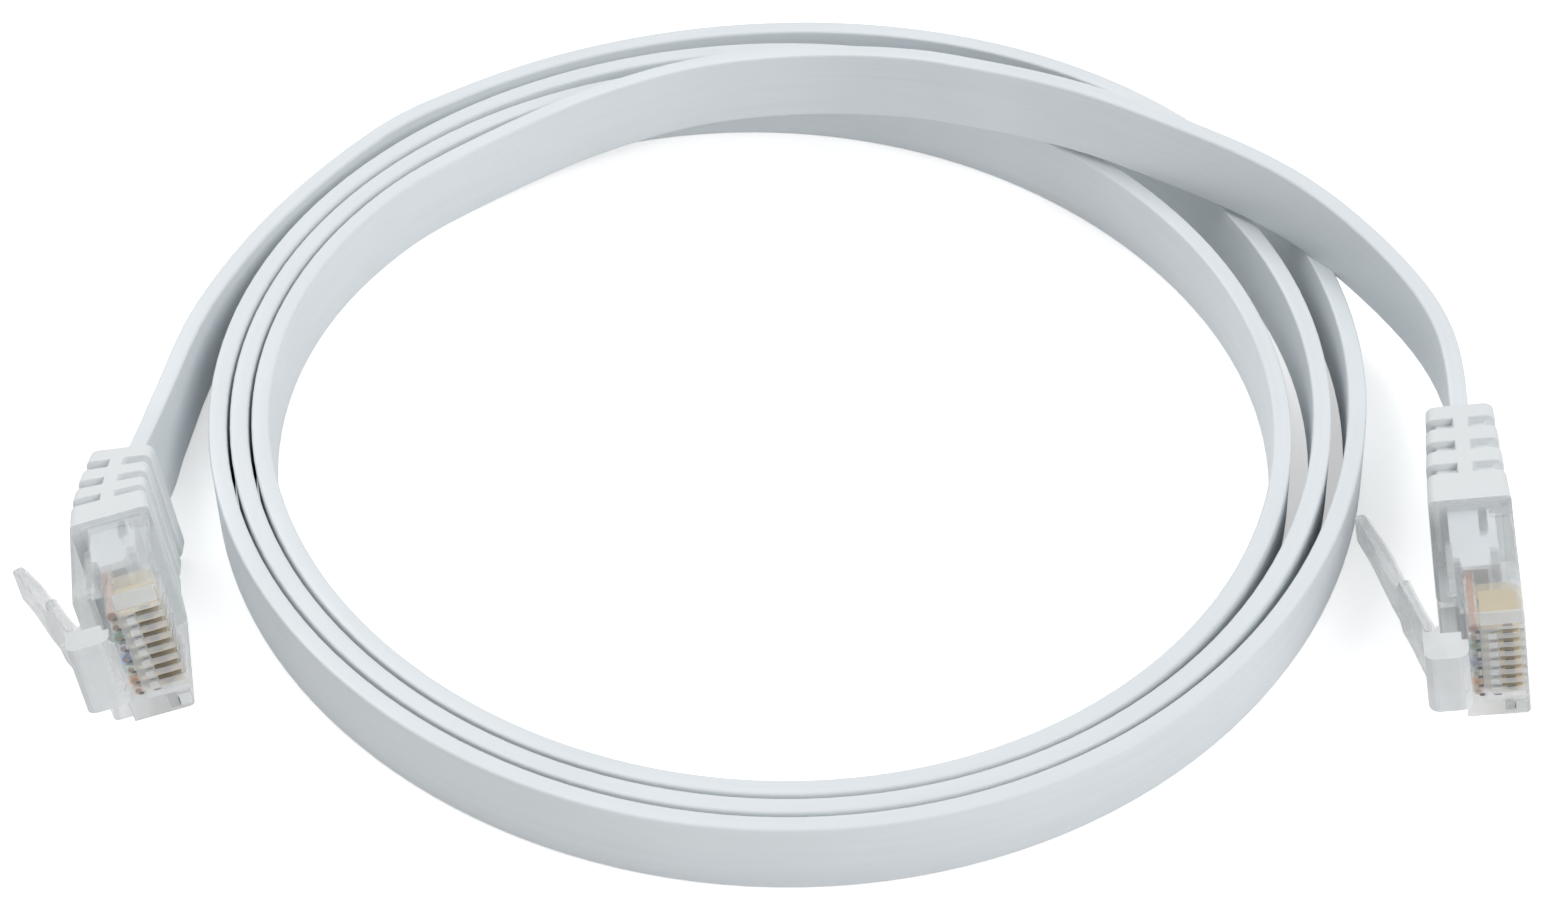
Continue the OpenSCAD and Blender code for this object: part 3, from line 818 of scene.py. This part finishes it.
@dataclass(frozen=True)
class Boot:
    """A strain-relief boot: a plain collar, then ribs between grooves that a spine bridges at the sides.

    The collar's taper is of its thickness, its width and its place. The rings are distances from an edge, or
    shares of a groove or a rib.
    """

    plug: PlugPlace
    body_l: float = 13.3
    width: float = 11.7
    thickness: float = 6.8
    collar_l: float = 3.4
    groove_l: float = 1.15
    rib_l: float = 1.75
    groove_d: float = 0.7
    ribs: int = 3
    rib_step_w: float = 0.25
    rib_step_t: float = 0.3
    spine_w: float = 1.2
    corner: float = 0.75
    lip: float = 0.2
    collar_taper: Triple = (0.16, 0.06, 0.08)
    neck: float = 0.45
    ribs_x: float = -0.1
    groove_corner: float = 0.35
    spine_edge: float = 0.1
    side_gap: float = 0.05
    flat_gap: float = 0.02
    spine_rings: tuple[float, ...] = (-0.1, 0.0, 0.05, 0.1, 0.15)
    edge_rings: tuple[float, ...] = (0.002, 0.015, 0.04, 0.08, 0.13, 0.2)
    end_ring: float = 0.001
    collar_step: float = 0.6
    groove_rings: Triple = (0.3, 0.5, 0.7)
    rib_rings: Triple = (0.25, 0.5, 0.75)

    def half_sizes(self, y: float) -> Triple:
        """The section's outside, without its grooves.

        Args:
            y: the distance from the nose.

        Returns:
            Half the thickness, half the width, and the place of the section's middle along X.
        """
        end = self.body_l + self.collar_l
        if y <= end:
            t, w, x = (taper * (y - self.body_l) / self.collar_l for taper in self.collar_taper)
            return self.thickness / 2 - t, self.width / 2 - w, -x
        i = (y - end) / (self.groove_l + self.rib_l)
        t = self.thickness - self.neck - self.rib_step_t * (i - 0.5)
        w = self.width - self.rib_step_w * (i + 0.5)
        return t / 2, w / 2, self.ribs_x

    def grooves(self) -> list[float]:
        """Where the grooves start along the boot, and last where it ends."""
        first, step = self.body_l + self.collar_l, self.groove_l + self.rib_l
        return [first + i * step for i in range(self.ribs + 1)]

    def rounding(self, near: float, radius: float) -> float:
        """How much a rounded edge takes off at a distance from it."""
        return radius - math.sqrt(max(0.0, radius ** 2 - max(0.0, radius - near) ** 2))

    def depth(self, y: float) -> Pair:
        """How deep the surface is below the outside.

        Args:
            y: the distance from the nose.

        Returns:
            The depth of the rounding at both ends, and that of a groove and the rounding at its sides.
        """
        *grooves, last = self.grooves()
        ends = self.rounding(y - self.body_l, self.lip / 2) + self.rounding(last - y, self.lip)
        if any(low < y < low + self.groove_l for low in grooves):
            return ends, self.groove_d
        near = min(min(abs(y - low), abs(y - low - self.groove_l)) for low in grooves)
        return ends, self.rounding(near, self.lip)

    def stations(self) -> list[float]:
        """Where the rings lie along the boot, close together at edges.

        Returns:
            Distances from the nose, in rising order.
        """
        *grooves, last = self.grooves()
        edges = [self.body_l, last, *grooves, *(y + self.groove_l for y in grooves)]
        rows = [self.body_l + self.end_ring, last - self.end_ring]
        rows += [e + side * d for e in edges for side in (-1, 1) for d in self.edge_rings]
        plain = int(self.collar_l / self.collar_step)
        rows += [self.body_l + self.collar_step * k for k in range(1, plain + 1)]
        rows += [y + self.groove_l * f for y in grooves for f in self.groove_rings]
        rows += [y + self.groove_l + self.rib_l * f for y in grooves for f in self.rib_rings]
        return sorted({round(y, 4) for y in rows if self.body_l < y < last})

    def ring(self, y: float) -> list[Vector]:
        """One ring of the boot's surface.

        Args:
            y: the distance from the nose.

        Returns:
            The ring's points in the world, in millimetres.
        """
        hx, hz, cx = self.half_sizes(y)
        ends, d = self.depth(y)
        hx, hz = hx - ends, hz - ends
        half, far = self.spine_w / 2, self.spine_rings[-1]
        rest = (hx - self.corner - self.groove_d - self.side_gap - half) / 3
        marks = tuple(side * (half + m) for side in (-1, 1)
                      for m in (*self.spine_rings, far + rest, far + 2 * rest))
        inside = max(self.groove_corner, self.corner - d)
        outer = rounded_outline(cx - hx, cx + hx, hz, self.corner, marks)
        inner = rounded_outline(cx - hx + d, cx + hx - d, hz - d, inside, marks)
        place = self.plug.along(y)
        points = []
        for (x0, z0), (x1, z1) in zip(outer, inner):
            on_side = abs(z0) > hz - self.flat_gap
            share = smooth_step((abs(x0 - cx) - half) / self.spine_edge) if on_side else 1.0
            points.append(place @ Vector((x0 + (x1 - x0) * share, 0, z0 + (z1 - z0) * share)))
        return points

    def make(self, finish: bpy.types.Material) -> bpy.types.Object:
        """Builds the boot in place of its plain solid.

        Args:
            finish: its material.

        Returns:
            The boot.
        """
        mesh = loft(self.plug.prefix + "_boot_ribbed", [self.ring(y) for y in self.stations()])
        mesh.materials.append(finish)
        piece = link(mesh.name, mesh)
        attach(piece, "cable")
        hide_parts(self.plug.prefix + "_boot")
        log.info("%s: boot with %d ribs, %d points", self.plug.prefix, self.ribs, len(mesh.vertices))
        return piece


class Look(Enum):
    """The finishes of a clear body, by their place in its list of materials."""

    CLEAR = 0
    COMB = 1
    FROST = 2
    # whiter and more opaque: a painted highlight on softened edges, and one painted bright pad
    EDGE = 3
    # near black: painted shade in the gaps at the nose and beside a hollow
    GAP = 4
    # grey: painted shade of hollows seen through the body
    SMOKE = 5
    WALL = 6


@dataclass(frozen=True)
class Block:
    """A small block in a plug's frame, between two corners."""

    low: Triple
    high: Triple
    look: Look
    edge: float = 0.04


@dataclass(frozen=True)
class Housing:
    """The clear body: its solid with softened edges in a whiter finish that paints their highlight, a milky
    comb, a frosted latch block, and blocks that paint the shade of its gaps and hollows.

    The block and the comb are the regions within their widths (half of one, for the comb) and their x and y.
    """

    plug: PlugPlace
    edge: float = 0.09
    weld: float = 0.0004
    plane_gap: float = 1e-7
    level_angle: float = 0.6
    sharp_angle: float = 40.0
    block_w: float = 6.0
    block_x: float = -1.65
    block_y: float = 2.2
    comb_w: float = 4.15
    comb_x: float = -0.25
    comb_y: Pair = (0.8, 5.9)
    pins: int = 8
    pin_pitch: float = 1.016
    # Near-black blocks at every pin on the nose: painted shade in the gaps beside the wire ends and the
    # contacts.
    pin_blocks: tuple[Block, ...] = (
        Block((-0.62, 0.05, -0.075), (-0.08, 0.3, 0.075), Look.GAP),
        Block((0.55, -0.01, -0.045), (1.15, 0.2, 0.045), Look.GAP),
        Block((1.6, 0.3, 0.175), (2.35, 0.68, 0.225), Look.GAP),
    )
    pad: Block = Block((0.34, -0.06, -0.28), (1.04, 0.1, 0.28), Look.COMB, 0.05)
    # Blocks behind the faces: the first is a milky plate at the nose; the grey ones paint the shade of
    # hollows seen through the body, a near-black sliver paints a shade line beside one, and the whiter one
    # paints a highlight.
    hollows: tuple[Block, ...] = (
        Block((-0.2, 0.12, 4.25), (3.2, 0.3, 5.6), Look.COMB),
        Block((1.35, 0.3, -5.7), (2.1, 0.5, -4.5), Look.SMOKE),
        Block((2.12, 0.3, -5.6), (2.2, 0.5, -4.9), Look.GAP),
        Block((2.25, 0.15, -5.65), (3.15, 0.4, -4.6), Look.EDGE),
        Block((-2.35, 3.2, 4.5), (-1.75, 9.3, 4.7), Look.SMOKE),
        Block((1.45, 12.2, 4.5), (2.95, 13.2, 4.7), Look.SMOKE),
    )

    def box(self, bm: bmesh.types.BMesh, block: Block, z: float = 0.0) -> None:
        """Adds a block with its edges cut back.

        Args:
            bm: the mesh it joins.
            block: the block.
            z: how far it is moved along the pins.
        """
        low, high = Vector(block.low), Vector(block.high)
        size, middle = high - low, (low + high) / 2 + Vector((0, 0, z))
        place = (Matrix.Scale(MM, 4) @ self.plug.matrix() @ Matrix.Translation(middle)
                 @ Matrix.Diagonal((*size, 1)))
        known = set(bm.faces)
        points = bmesh.ops.create_cube(bm, size=1, matrix=place)["verts"]
        edges = list({e for p in points for e in p.link_edges})
        bmesh.ops.bevel(bm, geom=edges, offset=min(block.edge, min(size) / 3) * MM, offset_type="OFFSET",
                        segments=1, profile=0.5, affect="EDGES", clamp_overlap=True)
        for face in set(bm.faces) - known:
            face.material_index = block.look.value

    def details(self, bm: bmesh.types.BMesh) -> None:
        """Adds the blocks that paint shade in the gaps at the nose, the milky pads, and the blocks behind the
        faces that paint shade and a highlight.

        Args:
            bm: the mesh they join.
        """
        for k in range(self.pins):
            z = (k - (self.pins - 1) / 2) * self.pin_pitch
            for block in self.pin_blocks:
                self.box(bm, block, z)
            if k < self.pins - 1:
                self.box(bm, self.pad, z + self.pin_pitch / 2)
        for block in self.hollows:
            self.box(bm, block)

    def look_of(self, centre: Vector, normal: Vector) -> Look:
        """Picks a face's finish.

        Args:
            centre: its middle in the plug's frame.
            normal: the way it faces, in the plug's frame.

        Returns:
            The finish.
        """
        if centre.x < self.block_x and abs(centre.z) <= self.block_w / 2 + TOUCH and centre.y < self.block_y:
            return Look.FROST
        front, back = self.comb_y
        if abs(centre.z) < self.comb_w and centre.x > self.comb_x and centre.y < back:
            if normal.y < -FACING and centre.y < front:
                return Look.COMB
            if abs(normal.z) > FACING:
                return Look.WALL
        return Look.CLEAR

    def make(self, finishes: dict[Look, bpy.types.Material]) -> bpy.types.Object:
        """Builds the body in place of its plain solid.

        Args:
            finishes: the material of each finish.

        Returns:
            The body.
        """
        place = self.plug.matrix()
        back = place.inverted()
        bm = bmesh.new()
        bm.from_mesh(frame["nodes"][self.plug.prefix + "_housing"].data)
        bmesh.ops.remove_doubles(bm, verts=bm.verts, dist=self.weld * MM)
        level = math.radians(self.level_angle)
        bmesh.ops.dissolve_limit(bm, angle_limit=level, verts=bm.verts, edges=bm.edges)
        x, z = self.comb_x, self.comb_w
        for at, across in (((x, 0, 0), (1, 0, 0)), ((0, 0, z), (0, 0, 1)), ((0, 0, -z), (0, 0, 1))):
            point, normal = (place @ Vector(at)) * MM, place.to_3x3() @ Vector(across)
            bmesh.ops.bisect_plane(bm, geom=[*bm.verts, *bm.edges, *bm.faces], dist=self.plane_gap,
                                   plane_co=point, plane_no=normal)
        for face in bm.faces:
            look = self.look_of(back @ (face.calc_center_median() / MM), back.to_3x3() @ face.normal)
            face.material_index = look.value
        limit = math.radians(self.sharp_angle)
        sharp = [e for e in bm.edges if len(e.link_faces) == 2 and e.calc_face_angle(0) > limit]
        # The softened edges get the whiter finish, a painted highlight along them.
        bmesh.ops.bevel(bm, geom=sharp, offset=self.edge * MM, offset_type="OFFSET", segments=2, profile=0.5,
                        affect="EDGES", clamp_overlap=True, material=Look.EDGE.value)
        bmesh.ops.triangulate(bm, faces=bm.faces)
        self.details(bm)
        mesh = bpy.data.meshes.new(self.plug.prefix + "_clear_body")
        bm.to_mesh(mesh)
        bm.free()
        for look in Look:
            mesh.materials.append(finishes[look])
        piece = link(mesh.name, mesh)
        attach(piece, "cable")
        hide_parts(self.plug.prefix + "_housing")
        log.info("%s: clear body with %d pins, %d faces", self.plug.prefix, self.pins, len(mesh.polygons))
        return piece


@dataclass(frozen=True)
class Latch:
    """The locking arm: a wide root with shoulders, then a narrower, bowed thumb end.

    The tables give half its width, its outer face and its inner face, by the distance from the hinge.
    """

    plug: PlugPlace
    hinge: Pair = (-4.21, 1.8)
    rest: float = 18.0
    length: float = 16.3
    root: float = -0.55
    tip: float = 0.5
    tip_share: float = 0.6
    root_share: float = 0.02
    corner: float = 0.22
    corner_share: float = 0.6
    widths: Table = ((5.7, 3.0), (6.3, 1.85), (7.0, 1.65), (14.5, 1.6), (16.0, 1.5))
    outer: Table = (
        (0.0, -0.5), (2.0, -0.42), (4.0, -0.32), (5.7, -0.33), (7.0, -0.47), (9.0, -0.42), (12.0, -0.28),
        (14.0, -0.25), (16.3, -0.33))
    inner: Table = (
        (0.0, 0.5), (2.0, 0.46), (5.0, 0.55), (7.0, 0.7), (9.0, 0.8), (11.5, 0.88), (14.0, 0.75), (15.6, 0.7),
        (16.3, 0.55))
    root_rings: tuple[float, ...] = (0.01, 0.08, 0.2, 0.35)
    arm_parts: tuple[int, int] = (8, 24)
    neck_step: float = 0.1
    neck_parts: int = 14
    tip_rings: tuple[float, ...] = (0.5, 0.35, 0.22, 0.12, 0.05, 0.01)

    def stations(self) -> list[float]:
        """Where the rings lie along the arm, close together at its root, its neck and its tip.

        Returns:
            Distances from the hinge, in rising order.
        """
        shoulder, (wide, narrow) = self.widths[0][0], self.arm_parts
        neck = shoulder + self.neck_parts * self.neck_step
        rest = self.length - neck - self.tip - self.neck_step
        rows = [self.root + d for d in self.root_rings] + [0.0]
        rows += [shoulder * k / wide for k in range(1, wide)]
        rows += [shoulder + k * self.neck_step for k in range(-1, self.neck_parts + 1)]
        rows += [neck + rest * k / narrow for k in range(1, narrow)]
        return sorted(rows + [self.length - d for d in self.tip_rings])

    def ring(self, y: float) -> list[Vector]:
        """One ring of the arm.

        Args:
            y: the distance from the hinge.

        Returns:
            The ring's points in the world, in millimetres.
        """
        low, high, w = glide_at(y, self.outer), glide_at(y, self.inner), blend_at(y, self.widths)
        mid, t = (low + high) / 2, (high - low) / 2
        if y < 0:
            t *= math.sqrt(max(self.root_share, 1 - (y / self.root) ** 2))
        end = self.length - y
        if end < self.tip:
            left = math.sqrt(max(0.0, 1 - (1 - end / self.tip) ** 2))
            t *= self.tip_share + (1 - self.tip_share) * left
            w -= self.tip * (1 - left)
        place = self.plug.matrix() @ Matrix.Translation((*self.hinge, 0)) @ rotation((0, 0, self.rest))
        outline = rounded_outline(mid - t, mid + t, w, min(self.corner, t * self.corner_share))
        return [place @ Vector((x, y, z)) for x, z in outline]

    def make(self, finish: bpy.types.Material, edge: bpy.types.Material) -> bpy.types.Object:
        """Builds the arm in place of its plain solid.

        Args:
            finish: its material.
            edge: the material of its rounded edges, whiter to paint their highlight.

        Returns:
            The arm.
        """
        rings = [self.ring(y) for y in self.stations()]
        mesh = loft(self.plug.prefix + "_latch_arm", rings)
        mesh.materials.append(finish)
        mesh.materials.append(edge)
        # The rounded corners get the whiter finish, a painted highlight along the arm's edges.
        count = len(rings[0])
        for face in mesh.polygons[:(len(rings) - 1) * count]:
            if face.index % (count // 2) < CORNER_PARTS:
                face.material_index = 1
        piece = link(mesh.name, mesh)
        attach(piece, "latch_" + self.plug.prefix)
        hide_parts(self.plug.prefix + "_latch")
        log.info("%s: latch arm, %d points", self.plug.prefix, len(mesh.vertices))
        return piece


def body_finishes(clear: bpy.types.Material) -> dict[Look, bpy.types.Material]:
    """Makes the finishes of a clear body.

    Args:
        clear: the clear plastic of its outside.

    Returns:
        The material of each finish.
    """
    return {
        Look.CLEAR: clear,
        Look.COMB: ClearPlastic("comb", (0.88, 0.90, 0.91), alpha=0.7, clear=0.35, roughness=0.2).make(),
        Look.WALL: ClearPlastic("wall", (0.92, 0.94, 0.95), alpha=0.4, clear=0.6, roughness=0.2).make(),
        Look.FROST: ClearPlastic("frost", (0.82, 0.84, 0.85), alpha=0.93, clear=0.2, roughness=0.4).make(),
        # whiter finish: painted highlight on edges
        Look.EDGE: ClearPlastic("edge", (0.97, 0.98, 0.98), alpha=0.8, clear=0.2, roughness=0.15).make(),
        # near black: painted shade
        Look.GAP: Plastic("painted_shade", (0.05, 0.05, 0.05), roughness=0.3).make(),
        # grey: painted shade of hollows seen through the body
        Look.SMOKE: ClearPlastic("painted_half_shade", (0.62, 0.64, 0.65), alpha=0.55, clear=0.3, roughness=0.3).make(),
    }


def finish_solids(finishes: dict[str, bpy.types.Material]) -> None:
    """Gives every solid of the model its finish; one without a finish of its own gets a plain plastic.

    Args:
        finishes: the materials made so far, by their slot.
    """
    slots = {s["node"]: s["material_slot"] for s in frame["record"]["subparts"]}
    colours = {m["slot"]: m["base_color"] for m in frame["record"]["materials"]}
    for name, node in frame["nodes"].items():
        slot = slots[name]
        if slot not in finishes:
            finishes[slot] = Plastic(slot, tuple(colours[slot][:3]), roughness=0.35).make()
        for place in node.material_slots:
            place.material = finishes[slot]
    log.info("model: %d solids in %d finishes", len(slots), len(finishes))


def main() -> None:
    """Builds the scene, cord first."""
    Viewpoint().make()
    Jacket().make()
    Studio().make()
    clear = ClearPlastic("clear_plastic", (0.83, 0.85, 0.86)).make()
    arm = ClearPlastic("latch_plastic", (0.80, 0.82, 0.83), alpha=0.75, clear=0.65, roughness=0.15,
                       ior=1.4).make()
    boot = Plastic("boot", (0.79, 0.82, 0.83), roughness=0.5, bump=0.12, grain=1800.0).make()
    looks = body_finishes(clear)
    for plug in (PLUG_A, PLUG_B):
        Boot(plug).make(boot)
        Housing(plug).make(looks)
        Latch(plug).make(arm, looks[Look.EDGE])
    finish_solids({
        "clear_plastic": clear,
        "latch_plastic": arm,
        "boot": boot,
        "inner_mould": Plastic("inner_mould", (0.66, 0.69, 0.71), roughness=0.5, edge=0.08).make(),
        "gold_contact": Metal("gold_contact", (0.85, 0.62, 0.3), metallic=0.2, flat=(0.5, 0.395, 0.2)).make(),
        "copper": Metal("copper", (0.35, 0.2, 0.13)).make(),
    })


if __name__ == "__main__":
    main()
